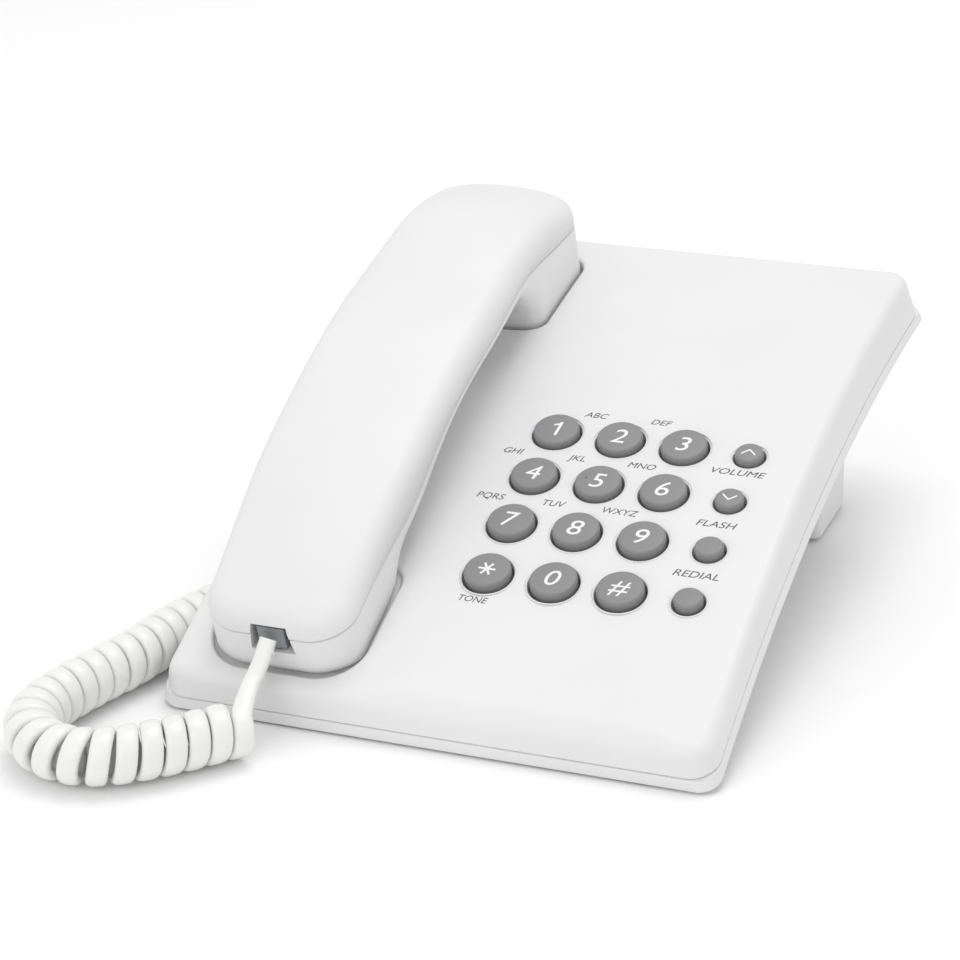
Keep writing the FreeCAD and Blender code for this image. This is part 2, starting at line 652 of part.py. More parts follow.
# ---- the whole set ----
def build():
    base = {"upper_casing": upper_casing(), "lower_casing": lower_casing(), "casing_screws": casing_screws(),
            "keypad_membrane": keypad_membrane(), "main_circuit_board": circuit_board(),
            "board_screws": board_screws(), "board_components": board_parts(),
            "line_jack": line_jack(), "base_handset_jack": base_handset_jack(),
            "ringer_sounder": ringer_sounder(), "base_ballast_plate": ballast_plate(),
            "hook_plunger": hook_plunger(), "hook_return_spring": hook_spring(), "hook_switch": hook_switch(),
            "handset_hook_tab": handset_hook_tab(),
            "ringer_switch": selector_switch(0.0), "ringer_selector": selector_knob(0.0),
            "dial_mode_switch": selector_switch(18.0), "dial_mode_selector": selector_knob(18.0),
            "handset_back_cover": handset_back_cover(), "handset_front_cover": handset_front_cover(),
            "handset_screws": handset_screws(), "receiver_gasket": receiver_gasket(),
            "receiver_capsule": receiver_capsule(), "microphone_boot": microphone_boot(),
            "microphone_capsule": microphone_capsule(), "handset_ballast": handset_ballast(),
            "handset_cord_jack": handset_cord_jack(), "handset_wiring": handset_wiring(),
            "handset_plug": handset_plug(), "base_plug": base_plug()}
    for name, x, y, r in key_places():
        base[name] = key(x, y, r)
    for name, shape in base.items():
        nodes[name] = to_desk(shape)
    nodes["wall_bracket"] = wall_bracket()
    nodes["rubber_feet"] = rubber_feet()
    nodes["handset_lead"] = tube(HANDSET_LEAD, LEAD_D, "handset lead")
    nodes["cord_coil"] = tube(COIL_ROUTE, COIL_D, "coil")
    nodes["base_lead"] = tube(BASE_LEAD, LEAD_D, "base lead")


build()
os.makedirs("parts", exist_ok=True)
for node, shape in nodes.items():
    shape.exportStep(f"parts/{node}.step")
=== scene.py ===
import math

import bpy
import bmesh
import numpy as np
from mathutils import Matrix, Vector
from mathutils.geometry import delaunay_2d_cdt


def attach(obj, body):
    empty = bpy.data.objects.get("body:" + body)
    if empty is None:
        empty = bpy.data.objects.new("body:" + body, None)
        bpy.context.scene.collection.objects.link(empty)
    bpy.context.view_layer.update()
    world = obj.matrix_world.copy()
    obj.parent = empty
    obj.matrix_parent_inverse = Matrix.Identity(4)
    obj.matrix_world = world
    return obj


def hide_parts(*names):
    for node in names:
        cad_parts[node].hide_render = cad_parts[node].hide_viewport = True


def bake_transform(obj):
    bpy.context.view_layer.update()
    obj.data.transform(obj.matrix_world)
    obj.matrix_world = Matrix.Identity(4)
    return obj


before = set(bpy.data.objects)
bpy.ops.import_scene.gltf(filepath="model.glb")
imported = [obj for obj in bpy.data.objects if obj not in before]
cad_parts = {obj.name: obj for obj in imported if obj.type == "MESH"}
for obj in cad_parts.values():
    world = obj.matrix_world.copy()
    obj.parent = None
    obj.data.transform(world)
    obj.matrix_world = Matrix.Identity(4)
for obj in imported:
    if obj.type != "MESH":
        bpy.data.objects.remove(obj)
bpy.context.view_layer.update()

# ---- camera ----
# The telephone is seen from its front right, a little above, with the camera rolled slightly
# to the right.
CAMERA_TARGET = Vector((-0.0192, -0.0144, 0.0358))
CAMERA_DISTANCE = 0.83
CAMERA_AZIMUTH, CAMERA_ELEVATION, CAMERA_ROLL = (math.radians(a) for a in (21.99, 23.83, -1.85))

camera_data = bpy.data.cameras.new("camera")
camera_data.lens, camera_data.sensor_width = 111.6, 36.0
camera = bpy.data.objects.new("camera", camera_data)
bpy.context.scene.collection.objects.link(camera)
camera.matrix_world = (Matrix.Translation(CAMERA_TARGET)
                       @ Matrix.Rotation(CAMERA_AZIMUTH, 4, "Z")
                       @ Matrix.Rotation(math.pi / 2 - CAMERA_ELEVATION, 4, "X")
                       @ Matrix.Rotation(CAMERA_ROLL, 4, "Z")
                       @ Matrix.Translation((0, 0, CAMERA_DISTANCE)))
bpy.context.scene.camera = camera

# ---- table and lights ----
# A plain white table that runs into a white room, lit by a large soft box above and a little
# behind the telephone, and by a weak fill at its front left.
TABLE_SIZE = 6.0
table_data = bpy.data.meshes.new("table")
table_data.from_pydata([(-TABLE_SIZE, -TABLE_SIZE, 0), (TABLE_SIZE, -TABLE_SIZE, 0),
                        (TABLE_SIZE, TABLE_SIZE, 0), (-TABLE_SIZE, TABLE_SIZE, 0)], [], [(0, 1, 2, 3)])
table = bpy.data.objects.new("table", table_data)
bpy.context.scene.collection.objects.link(table)
table_paint = bpy.data.materials.new("table_paint")
table_paint.use_nodes = True
table_shader = table_paint.node_tree.nodes["Principled BSDF"]
table_shader.inputs["Base Color"].default_value = (0.93, 0.93, 0.93, 1)
table_shader.inputs["Roughness"].default_value = 0.75
table_data.materials.append(table_paint)


def soft_box(name, place, aim, size, watts):
    """Square lamp of one size, turned towards a point."""
    data = bpy.data.lights.new(name, "AREA")
    data.size, data.energy = size, watts
    lamp = bpy.data.objects.new(name, data)
    bpy.context.scene.collection.objects.link(lamp)
    lamp.location = place
    lamp.rotation_mode = "QUATERNION"
    lamp.rotation_quaternion = (Vector(aim) - Vector(place)).to_track_quat("-Z", "Y")
    return lamp


soft_box("key_lamp", (0.1, 0.35, 1.45), (0, 0, 0.03), 0.9, 7.0)
soft_box("fill_lamp", (-0.3, -1.3, 0.8), (0, 0, 0.03), 1.2, 4.0)

world = bpy.data.worlds.new("white_room")
bpy.context.scene.world = world
world.use_nodes = True
world.node_tree.nodes["Background"].inputs["Color"].default_value = (1, 1, 1, 1)
world.node_tree.nodes["Background"].inputs["Strength"].default_value = 0.8
bpy.context.scene.view_settings.view_transform = "Standard"

# ---- curly cord ----
# One flat strand of soft white PVC over four thin wires: a short straight end to the handset,
# then wound into a coil that lies on the table in a bend and goes in under the base, then a
# straight end to the socket in the base's underside.
HANDSET_LEAD = [(-0.0442, -0.1019, 0.0246), (-0.0450, -0.1050, 0.0190), (-0.0460, -0.1105, 0.0155)]
COIL_ROUTE = [(-0.0445, -0.1205, 0.0081), (-0.0565, -0.1345, 0.0081), (-0.0715, -0.1465, 0.0081),
              (-0.0845, -0.1472, 0.0081), (-0.0946, -0.1406, 0.0081), (-0.0990, -0.1285, 0.0081),
              (-0.0948, -0.1105, 0.0081), (-0.0883, -0.0930, 0.0081), (-0.0858, -0.0760, 0.0081),
              (-0.0795, -0.0580, 0.0081), (-0.0670, -0.0420, 0.0081), (-0.0500, -0.0300, 0.0081),
              (-0.0330, -0.0210, 0.0081), (-0.0170, -0.0110, 0.0081)]
BASE_LEAD = [(-0.0150, 0.0000, 0.0076), (-0.0136, 0.0119, 0.0074), (-0.0132, 0.0256, 0.0103),
             (-0.0132, 0.0348, 0.0180), (-0.0132, 0.0382, 0.0285), (-0.0132, 0.0354, 0.0381)]
STRAND_WIDTH, STRAND_THICK = 0.0056, 0.0032
LEAD_WIDTH = 0.0046
HANDSET_LEAD_BACKS = [(0, -0.93, 0.36), (0, -0.85, 0.5), (0.1, -0.5, 0.86)]     # the flat side's facing
BASE_LEAD_BACKS = [(0, 0, 1), (0, 0, 1), (0, -0.4, 0.9), (0, -0.9, 0.4), (0, -1, 0), (0, -1, -0.2)]
COIL_RADIUS = 0.0076 - STRAND_THICK / 2          # to the strand's middle
COIL_TURNS, POINTS_A_TURN = 38, 20
END_TURN_SIZE, END_TURN_POINTS = 0.72, 6         # the coil's ends tuck in over a few points
TURN_TOUCH = 0.94                                # a turn's width over the room that it has


def along_spline(points, steps):
    """Points read from a smooth spline that has these control points."""
    curve = bpy.data.curves.new("route", "CURVE")
    curve.dimensions = "3D"
    spline = curve.splines.new("NURBS")
    spline.points.add(len(points) - 1)
    for control, point in zip(spline.points, points):
        control.co = (*point, 1.0)
    spline.order_u = 3
    spline.use_endpoint_u = True
    spline.resolution_u = steps
    holder = bpy.data.objects.new("route", curve)
    line = bpy.data.meshes.new_from_object(holder)
    found = np.array([v.co for v in line.vertices])
    bpy.data.objects.remove(holder)
    bpy.data.meshes.remove(line)
    return found


def run_lengths(points):
    """Distance along a line of points to each of them."""
    return np.concatenate([[0], np.cumsum(np.linalg.norm(np.diff(points, axis=0), axis=1))])


route = along_spline(COIL_ROUTE, 12)
route_run = run_lengths(route)
route_way = np.gradient(route, route_run, axis=0)
route_heading = np.unwrap(np.arctan2(route_way[:, 1], route_way[:, 0]))
route_bend = np.gradient(route_heading, route_run)
pitch = route_run[-1] / COIL_TURNS
strand_points, strand_backs, strand_widths = [], [], []
for point, back in zip(HANDSET_LEAD, HANDSET_LEAD_BACKS):
    strand_points.append(np.array(point))
    strand_backs.append(np.array(back))
    strand_widths.append(LEAD_WIDTH)
coil_points = COIL_TURNS * POINTS_A_TURN
for i in range(1, coil_points):
    share = i / coil_points
    turn = 2 * math.pi * i / POINTS_A_TURN
    at = share * route_run[-1]
    middle = np.array([np.interp(at, route_run, route[:, k]) for k in range(3)])
    heading, bend = np.interp(at, route_run, route_heading), np.interp(at, route_run, route_bend)
    back = np.array([-math.sin(heading) * math.sin(turn), math.cos(heading) * math.sin(turn), math.cos(turn)])
    from_end = min(i, coil_points - i) / END_TURN_POINTS
    growth = min(1.0, END_TURN_SIZE + (1 - END_TURN_SIZE) * from_end)
    strand_points.append(middle + back * COIL_RADIUS * growth)
    strand_backs.append(back)
    gap = pitch * (1 - bend * COIL_RADIUS * math.sin(turn))
    strand_widths.append(min(STRAND_WIDTH, TURN_TOUCH * gap))
for point, back in zip(BASE_LEAD, BASE_LEAD_BACKS):
    strand_points.append(np.array(point))
    strand_backs.append(np.array(back, float))
    strand_widths.append(LEAD_WIDTH)


def swept_strand(points, backs, widths, thick):
    """Flat strand with rounded edges along a line; backs point out of its outer face."""
    turns = np.linspace(0, 2 * math.pi, 16, endpoint=False)
    across = np.sign(np.cos(turns)) * np.abs(np.cos(turns)) ** 0.72
    outward = np.sign(np.sin(turns)) * np.abs(np.sin(turns)) ** 0.72
    ways = np.gradient(points, axis=0)
    ways /= np.linalg.norm(ways, axis=1)[:, None]
    backs = backs - ways * (backs * ways).sum(1)[:, None]
    backs /= np.linalg.norm(backs, axis=1)[:, None]
    sides = np.cross(ways, backs)
    rings = (points[:, None] + sides[:, None] * (across * widths[:, None] / 2)[:, :, None]
             + backs[:, None] * (outward * thick / 2)[None, :, None])
    count, around = len(points), len(turns)
    faces = []
    for i in range(count - 1):
        for k in range(around):
            a, b = i * around + k, i * around + (k + 1) % around
            faces.append((a, b, b + around, a + around))
    faces.append(tuple(range(around))[::-1])
    faces.append(tuple(range((count - 1) * around, count * around)))
    data = bpy.data.meshes.new("strand")
    data.from_pydata(rings.reshape(-1, 3).tolist(), [], faces)
    return data


def new_piece(name, data, material, smooth_below=40):
    """Object with a mesh in the desk's frame, outward faces and one material."""
    work = bmesh.new()
    work.from_mesh(data)
    bmesh.ops.recalc_face_normals(work, faces=work.faces)
    work.to_mesh(data)
    work.free()
    data.shade_smooth()
    data.set_sharp_from_angle(angle=math.radians(smooth_below))
    data.materials.clear()
    data.materials.append(material)
    data.name = name
    piece = bpy.data.objects.new(name, data)
    bpy.context.scene.collection.objects.link(piece)
    return piece


def moulded_plastic(name, colour, roughness, grain_scale, grain_depth, mottling=0.03):
    """Moulded plastic: a fine spark-eroded grain, faint cloudiness and uneven gloss."""
    material = bpy.data.materials.new(name)
    material.use_nodes = True
    nodes, links = material.node_tree.nodes, material.node_tree.links
    shader = nodes["Principled BSDF"]
    shader.inputs["IOR"].default_value = 1.5
    place = nodes.new("ShaderNodeTexCoord")
    grain = nodes.new("ShaderNodeTexNoise")
    grain.inputs["Scale"].default_value = grain_scale
    grain.inputs["Detail"].default_value = 2.0
    links.new(place.outputs["Object"], grain.inputs["Vector"])
    bump = nodes.new("ShaderNodeBump")
    bump.inputs["Distance"].default_value = grain_depth
    bump.inputs["Strength"].default_value = 0.6
    links.new(grain.outputs["Fac"], bump.inputs["Height"])
    links.new(bump.outputs["Normal"], shader.inputs["Normal"])
    cloud = nodes.new("ShaderNodeTexNoise")
    cloud.inputs["Scale"].default_value = 35.0
    cloud.inputs["Detail"].default_value = 3.0
    links.new(place.outputs["Object"], cloud.inputs["Vector"])
    tint = nodes.new("ShaderNodeValToRGB")
    tint.color_ramp.elements[0].position, tint.color_ramp.elements[1].position = 0.3, 0.7
    tint.color_ramp.elements[0].color = (*[c * (1 - mottling) for c in colour], 1)
    tint.color_ramp.elements[1].color = (*colour, 1)
    links.new(cloud.outputs["Fac"], tint.inputs["Fac"])
    links.new(tint.outputs["Color"], shader.inputs["Base Color"])
    gloss = nodes.new("ShaderNodeMapRange")
    gloss.inputs["To Min"].default_value = roughness - 0.04
    gloss.inputs["To Max"].default_value = roughness + 0.04
    links.new(cloud.outputs["Fac"], gloss.inputs["Value"])
    links.new(gloss.outputs["Result"], shader.inputs["Roughness"])
    return material


cord_pvc = moulded_plastic("cord_pvc", (0.84, 0.84, 0.83), 0.27, 900.0, 0.00002)
strand_line = along_spline(strand_points, 2)
strand_outer = along_spline([p + 0.01 * b for p, b in zip(strand_points, strand_backs)], 2)
strand_width_line = along_spline([(w, 0, 0) for w in strand_widths], 2)[:, 0]
curly_cord = new_piece("curly_cord", swept_strand(strand_line, strand_outer - strand_line,
                                                  strand_width_line, STRAND_THICK), cord_pvc, 60)
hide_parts("handset_lead", "cord_coil", "base_lead")
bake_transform(curly_cord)

# ---- upper casing of the base ----
# One white ABS moulding: an arched deck with a soft scoop for the fingers, wells for the two
# ends of the handset and a round well for each key, on walls that lean out.  Sizes from here
# on are in millimetres in the base's own frame, which TO_DESK tips back onto the table.
BASE_TILT = math.radians(16.0)
BASE_LONG, BASE_HALF, BASE_CORNER, ARCH_RISE = 208.0, 75.0, 6.0, 8.2
ARCH_RADIUS = (BASE_LONG ** 2 / 4 + ARCH_RISE ** 2) / (2 * ARCH_RISE)
WALL_LEAN = math.tan(math.radians(12.0))
PARTING_FRONT, PARTING_BACK = 7.3, 13.4          # deck down to the lower casing
PARTING_GAP = 0.12                               # slit over the lower casing
LIP_ANGLE = math.radians(78)                     # where the rounded edge meets the leaning wall
SCOOP_DEPTH = 3.4
HANDSET_X, CRADLE_GAP = -44.5, 0.9
EAR_FLOOR, EAR_FRONT, MOUTH_DEPTH, MOUTH_BACK = -2.0, 153.0, 3.0, 46.0
KEY_START, KEY_PITCH = (0.5, 105.5), (18.5, 19.2)
SIDE_KEY_X, KEY_RADIUS, SIDE_KEY_RADIUS, KEY_GAP = 56.0, 6.6, 4.1, 0.5
KEY_WELL_DEPTH = 5.4
TO_DESK = (Matrix.Translation((0, -0.1041, 0.011501)) @ Matrix.Rotation(BASE_TILT, 4, "X")
           @ Matrix.Scale(0.001, 4))


def arch(y):
    """Height of the deck over its chord."""
    return np.sqrt(ARCH_RADIUS ** 2 - (y - BASE_LONG / 2) ** 2) - (ARCH_RADIUS - ARCH_RISE)


def ease(value):
    """0 below 0, 1 above 1, and a soft step between."""
    t = np.clip(value, 0, 1)
    return t * t * (3 - 2 * t)


def deck(x, y):
    """Height of the deck: the arch with the finger scoop in front of the ear well."""
    across = ease((-21.5 - x) / 15) * ease((x + 69) / 6)
    along = ease((y - 116) / 24) * ease((158 - y) / 20)
    return arch(y) - SCOOP_DEPTH * across * along


def parting(y):
    """Height of the line between the two casings."""
    return arch(y) - PARTING_FRONT - (PARTING_BACK - PARTING_FRONT) * y / BASE_LONG


def rounded_outline(corners, radii, spacing):
    """Points round a polygon with rounded corners, and the outward direction at each."""
    corners = [np.array(c, float) for c in corners]
    arcs = []
    for before, here, after, r in zip(corners[-1:] + corners[:-1], corners, corners[1:] + corners[:1], radii):
        a, b = (here - before) / np.linalg.norm(here - before), (after - here) / np.linalg.norm(after - here)
        turn = math.atan2(a[0] * b[1] - a[1] * b[0], a @ b)
        out = np.array([a[1], -a[0]])
        centre = here - a * r * math.tan(turn / 2) - out * r
        steps = max(6, int(2.5 * r * turn / spacing))
        angles = math.atan2(out[1], out[0]) + turn * np.arange(steps + 1) / steps
        facing = np.stack([np.cos(angles), np.sin(angles)], 1)
        arcs.append((centre + facing * r, facing))
    points, facings = [], []
    for (arc, facing), (next_arc, _) in zip(arcs, arcs[1:] + arcs[:1]):
        points.append(arc)
        facings.append(facing)
        run = int(np.linalg.norm(next_arc[0] - arc[-1]) / spacing)
        shares = np.arange(1, run)[:, None] / max(run, 1)
        points.append(arc[-1] + (next_arc[0] - arc[-1]) * shares)
        facings.append(np.repeat(facing[-1:], len(shares), 0))
    return np.concatenate(points), np.concatenate(facings)


def ring(shell, outline, heights):
    """Closed row of vertices over an outline."""
    heights = np.broadcast_to(heights, len(outline))
    return [shell.verts.new((x, y, z)) for (x, y), z in zip(outline, heights)]


def join_rings(shell, first, second):
    """Band of faces between two rows of as many vertices."""
    for i in range(len(first)):
        k = (i + 1) % len(first)
        shell.faces.new((first[i], first[k], second[k], second[i]))


def inside(points, outline):
    """Which points lie inside a closed outline."""
    x, y = points[:, 0:1], points[:, 1:2]
    ax, ay = outline[:, 0], outline[:, 1]
    bx, by = np.roll(ax, -1), np.roll(ay, -1)
    crossing = (ay > y) != (by > y)
    with np.errstate(divide="ignore", invalid="ignore"):
        reach = (bx - ax) * (y - ay) / (by - ay) + ax
    return (crossing & (x < reach)).sum(1) % 2 == 1


def fill_skin(shell, outer, holes, height, spacing, extra=()):
    """Triangles between an outer ring and the holes' rings, over points at a height rule."""
    rings = [outer] + list(holes)
    outlines = [np.array([v.co.xy for v in one]) for one in rings]
    low, high = outlines[0].min(0), outlines[0].max(0)
    row_step = spacing * 0.87
    grid = [(x, y) for y in np.arange(low[1], high[1], row_step)
            for x in np.arange(low[0] + spacing * 0.5 * (int(y / row_step) % 2), high[0], spacing)]
    grid = np.array(grid + list(extra))
    keep = inside(grid, outlines[0])
    for outline in outlines[1:]:
        keep &= ~inside(grid, outline)
    grid = grid[keep]
    border = np.concatenate(outlines)
    apart = np.array([np.min((border[:, 0] - x) ** 2 + (border[:, 1] - y) ** 2) for x, y in grid])
    grid = grid[apart > (0.3 * spacing) ** 2]
    edges, start = [], 0
    for outline in outlines:
        edges += [(start + i, start + (i + 1) % len(outline)) for i in range(len(outline))]
        start += len(outline)
    flat = [Vector(p) for p in np.concatenate([border, grid]).tolist()]
    places, _, faces, origins, _, _ = delaunay_2d_cdt(flat, edges, [], 0, 1e-7)
    heights = height(grid[:, 0], grid[:, 1])
    corners = [v for one in rings for v in one]
    corners += [shell.verts.new((x, y, z)) for (x, y), z in zip(grid, heights)]
    middles = np.array([np.mean([places[i] for i in face], axis=0) for face in faces])
    wanted = inside(middles, outlines[0])
    for outline in outlines[1:]:
        wanted &= ~inside(middles, outline)
    for face, take in zip(faces, wanted):
        if take:
            shell.faces.new([corners[origins[i][0]] for i in face])


def finished_shell(shell, name, material, smooth_below=40):
    """The millimetre mesh as a piece on the table."""
    data = bpy.data.meshes.new(name)
    shell.to_mesh(data)
    shell.free()
    data.transform(TO_DESK)
    return new_piece(name, data, material, smooth_below)


def handset_corners(grow):
    """Plan of the handset: a long round-cornered bar, wider at the ear."""
    return [(HANDSET_X - 21 - grow, 6.5 - grow), (HANDSET_X + 21 + grow, 6.5 - grow),
            (HANDSET_X + 23 + grow, 197 + grow), (HANDSET_X - 23 - grow, 197 + grow)]


def handset_half(y):
    """Half its width, which swells a little along the handle."""
    return 21 + 2 * (y - 6.5) / 190.5 + 1.2 * ease((y - 25) / 40) * ease((156 - y) / 40)


def sink_well(shell, outline, facing, floor, rim=1.2, foot=0.8, spacing=4.0):
    """Rounded rim, wall, rounded foot and floor of a well; returns the rim's ring in the deck."""
    start = outline + facing * rim
    top = deck(start[:, 0], start[:, 1])
    first = last = ring(shell, start, top)
    for angle in np.radians([18, 36, 54, 72, 90]):
        row = outline + facing * rim * (1 - math.sin(angle))
        this = ring(shell, row, top - rim * (1 - math.cos(angle)))
        join_rings(shell, last, this)
        last = this
    for angle in np.radians([0, 30, 60, 90]):
        row = outline - facing * foot * (1 - math.cos(angle))
        this = ring(shell, row, floor(row[:, 0], row[:, 1]) + foot * (1 - math.sin(angle)))
        join_rings(shell, last, this)
        last = this
    fill_skin(shell, last, [], floor, spacing)
    return first


white_abs = moulded_plastic("white_abs", (0.77, 0.77, 0.77), 0.48, 1600.0, 0.00003)
casing = bmesh.new()
base_corners = [(-BASE_HALF, 0), (BASE_HALF, 0), (BASE_HALF, BASE_LONG), (-BASE_HALF, BASE_LONG)]
base_outline, base_facing = rounded_outline(base_corners, [BASE_CORNER] * 4, 3.0)
edge_x, edge_y = base_outline.T
front_round = 5 + 4 * ease((edge_x + 22) / 18) - 4.5 * ease((edge_x - 54) / 14)
edge_round = np.where(edge_y < 0.1, front_round, 3 + 1.5 * ease((30 - edge_y) / 24))
edge_place = base_outline.copy()
for _ in range(3):
    edge_height = deck(edge_place[:, 0], edge_place[:, 1])
    shoulder = edge_height - edge_round * (1 - math.cos(LIP_ANGLE))
    edge_out = -shoulder * WALL_LEAN - edge_round * math.sin(LIP_ANGLE)
    edge_place = base_outline + base_facing * edge_out[:, None]
last = deck_ring = ring(casing, edge_place, edge_height)
for angle in np.linspace(0, LIP_ANGLE, 9)[1:]:
    row = edge_place + base_facing * (edge_round * math.sin(angle))[:, None]
    this = ring(casing, row, edge_height - edge_round * (1 - math.cos(angle)))
    join_rings(casing, last, this)
    last = this
for above, inset in ((0.45, 0.0), (PARTING_GAP, 0.35), (PARTING_GAP, 2.2)):
    row = base_outline
    for _ in range(3):
        low = parting(row[:, 1]) + above
        row = base_outline + base_facing * (-low * WALL_LEAN - inset)[:, None]
    this = ring(casing, row, low)
    join_rings(casing, last, this)
    last = this
fill_skin(casing, last, [], lambda x, y: parting(y) + PARTING_GAP, 8.0)
ear_half = handset_half(EAR_FRONT) + CRADLE_GAP
ear_corners = [(HANDSET_X - ear_half, EAR_FRONT), (HANDSET_X + ear_half, EAR_FRONT),
               *handset_corners(CRADLE_GAP)[2:]]
wells = [sink_well(casing, *rounded_outline(ear_corners, [5.5, 5.5, 9.9, 9.9], 2.0),
                   lambda x, y: np.full_like(x, EAR_FLOOR))]
mouth_half = handset_half(MOUTH_BACK) + CRADLE_GAP
mouth_corners = handset_corners(CRADLE_GAP)[:2] + [(HANDSET_X + mouth_half, MOUTH_BACK),
                                                   (HANDSET_X - mouth_half, MOUTH_BACK)]
wells.append(sink_well(casing, *rounded_outline(mouth_corners, [12.9, 12.9, 6, 6], 2.0),
                       lambda x, y: arch(y) - MOUTH_DEPTH * (1 - 0.75 * ease((y - 30) / 15))))
key_names = ["key_1", "key_2", "key_3", "key_4", "key_5", "key_6",
             "key_7", "key_8", "key_9", "key_star", "key_0", "key_hash"]
key_places = {}
for i, name in enumerate(key_names):
    row, column = divmod(i, 3)
    key_places[name] = (KEY_START[0] + KEY_PITCH[0] * column, KEY_START[1] - KEY_PITCH[1] * row, KEY_RADIUS)
for i, name in enumerate(["volume_up_key", "volume_down_key", "flash_key", "redial_key"]):
    key_places[name] = (SIDE_KEY_X, KEY_START[1] - KEY_PITCH[1] * i, SIDE_KEY_RADIUS)
for x, y, radius in key_places.values():
    angles = np.linspace(0, 2 * math.pi, 40, endpoint=False)
    facing = np.stack([np.cos(angles), np.sin(angles)], 1)
    wells.append(sink_well(casing, np.array([x, y]) + facing * (radius + KEY_GAP), facing,
                           lambda x, y: arch(y) - KEY_WELL_DEPTH, rim=0.3, foot=0.3))
scoop_points = [(x, y) for x in np.arange(-66, -18, 1.7) for y in np.arange(114, 152, 1.7)]
fill_skin(casing, deck_ring, wells, deck, 4.0, scoop_points)
upper_casing = finished_shell(casing, "upper_casing_shell", white_abs)


BLOCK_FACES = [(3, 2, 1, 0), (4, 5, 6, 7), (0, 1, 5, 4), (1, 2, 6, 5), (2, 3, 7, 6), (3, 0, 4, 7)]


def cutter(data):
    """Unseen object that takes its space, in the base's frame, out of a piece."""
    data.transform(TO_DESK)
    piece = bpy.data.objects.new("cutter", data)
    bpy.context.scene.collection.objects.link(piece)
    return piece


def block_cutter(points):
    """Six-sided cutter with four points at each end."""
    data = bpy.data.meshes.new("cutter")
    data.from_pydata(points, [], BLOCK_FACES)
    return cutter(data)


def box_cutter(x0, x1, y0, y1, low, high):
    """Box-shaped cutter between two corners."""
    return block_cutter([(x, y, z) for z in (low, high) for x, y in ((x0, y0), (x1, y0), (x1, y1), (x0, y1))])


def cut_away(piece, cutters, smooth_below=40):
    """Takes the cutters' space out of a piece and removes the cutters."""
    for tool in cutters:
        modifier = piece.modifiers.new("cut", "BOOLEAN")
        modifier.object, modifier.operation, modifier.solver = tool, "DIFFERENCE", "EXACT"
    result = bpy.data.meshes.new_from_object(piece.evaluated_get(bpy.context.evaluated_depsgraph_get()))
    piece.modifiers.clear()
    piece.data = result
    result.shade_smooth()
    result.set_sharp_from_angle(angle=math.radians(smooth_below))
    for tool in cutters:
        bpy.data.objects.remove(tool)


plunger_opening = box_cutter(HANDSET_X - 4.1, HANDSET_X + 4.1, 179.9, 184.1, -9.5, 0)
line_opening = box_cutter(33.4, 46.6, 190, 230, -13.3, -3.3)
selector_slots = [box_cutter(x - 4.5, x + 4.5, 200, 220, -7.0, -4.0) for x in (0.0, 18.0)]
cut_away(upper_casing, [plunger_opening, line_opening, *selector_slots])
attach(upper_casing, "base")
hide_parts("upper_casing")

# ---- handset ----
# Two white ABS shells that meet on a curved seam: a crowned back cover with broad rounded
# edges, and a front cover with the ear pad and the mouth pad, screwed together from below.
CROWN = [(13, 20), (35, 27), (62, 33), (90, 36.8), (120, 38), (150, 36.4), (178, 31), (193, 25.2)]
SEAM = [(0, 10.8), (20, 13.4), (40, 16.2), (56, 18.4), (70, 22), (84, 25.2), (100, 26.8),
        (118, 27), (138, 26.9), (152, 26), (166, 22.9), (180, 19.4), (205, 15)]
UNDERSIDE = [(40, 5.5), (45, 11.2), (52, 14.2), (64, 17.4), (75, 20.8), (86, 23.4), (100, 25), (119, 25),
             (137, 24.4), (148, 20), (153.5, 12)]
EAR_BULGE = 2.8                                  # the ear end's back is fuller than the handle's
EAR_BLOCK_FRONT, EAR_BLOCK_CORNER, EAR_PAD = 153.5, 4.6, -1.7
MOUTH_BLOCK_BACK, MOUTH_PAD_DEPTH = 40.0, 2.7
EAR_CENTRE, MOUTH_CENTRE = 175.0, 26.5
EAR_HOLE, MOUTH_HOLE, SCREW_HOLE, HOLE_LENGTH = 1.1, 0.9, 2.6, 5.0
SIDE_ROUND, FRONT_ROUND, ROUND_ANGLE = 6.5, 9.5, math.radians(74)
SEAM_GAP = 0.12


def smooth_line(knots):
    """Natural cubic spline through knots, as a rule for the height at y."""
    y, z = np.array(knots, float).T
    gap, slope = np.diff(y), np.diff(z) / np.diff(y)
    matrix, right = np.eye(len(y)), np.zeros(len(y))
    for i in range(1, len(y) - 1):
        matrix[i, i - 1:i + 2] = gap[i - 1], 2 * (gap[i - 1] + gap[i]), gap[i]
        right[i] = 6 * (slope[i] - slope[i - 1])
    bend = np.linalg.solve(matrix, right)

    def height(at):
        at = np.asarray(at, float)
        i = np.clip(np.searchsorted(y, at) - 1, 0, len(y) - 2)
        a, b = y[i + 1] - at, at - y[i]
        a0, b0 = np.clip(a, 0, gap[i]), np.clip(b, 0, gap[i])
        inner = (bend[i] * a0 ** 3 + bend[i + 1] * b0 ** 3) / (6 * gap[i])
        start = z[i] / gap[i] - bend[i] * gap[i] / 6
        end = z[i + 1] / gap[i] - bend[i + 1] * gap[i] / 6
        inner += start * a0 + end * b0
        before, after = slope[0] - bend[1] * gap[0] / 6, slope[-1] + bend[-2] * gap[-1] / 6
        return inner + before * np.minimum(at - y[0], 0) + after * np.maximum(at - y[-1], 0)

    return height


crown_line, seam_line, under_line = smooth_line(CROWN), smooth_line(SEAM), smooth_line(UNDERSIDE)


def crown(x, y):
    """Top of the back cover, a little lower towards its long edges and fuller over the ear."""
    side = np.clip((x - HANDSET_X) / handset_half(y), -1, 1)
    return crown_line(y) - 3.0 * side ** 2 + EAR_BULGE * ease((y - 128) / 50) * (1 - side ** 4)


